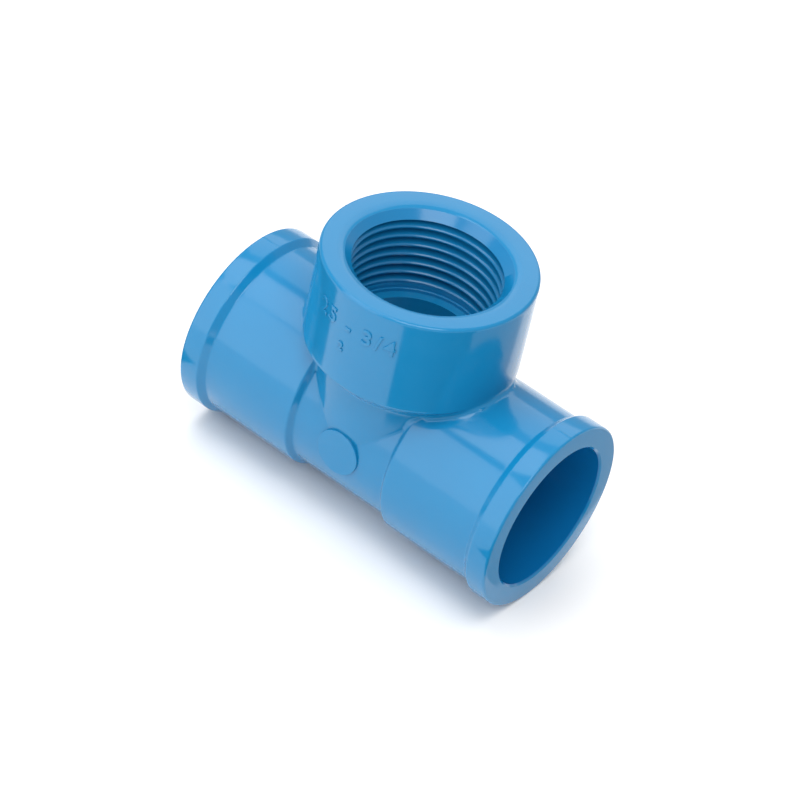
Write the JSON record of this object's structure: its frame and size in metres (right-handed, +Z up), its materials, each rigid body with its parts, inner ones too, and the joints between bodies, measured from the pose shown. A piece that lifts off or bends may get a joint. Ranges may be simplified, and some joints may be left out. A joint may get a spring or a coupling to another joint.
{
  "type": "threaded pipe tee",
  "caption": "Equal-run pipe tee with solvent-weld sockets at both ends of the run and a female pipe thread in a thick collar on the branch.",
  "frame": {"origin": "midway between the run's two mouths, right below the branch, on the plane that the run's mouth bands stand on; the run's axis is 16.5 mm above it", "axes": "+X along the run, +Z up the branch towards its mouth, -Y towards the side with the round gate mark"},
  "size_m": [0.064, 0.035, 0.0485],
  "materials": {
    "body": "glossy injection-moulded blue PVC-U",
    "bush": "glossy injection-moulded blue PVC-U"
  },
  "bodies": {
    "root": {"tee_body": "body", "threaded_bush": "bush"}
  },
  "joints": []
}
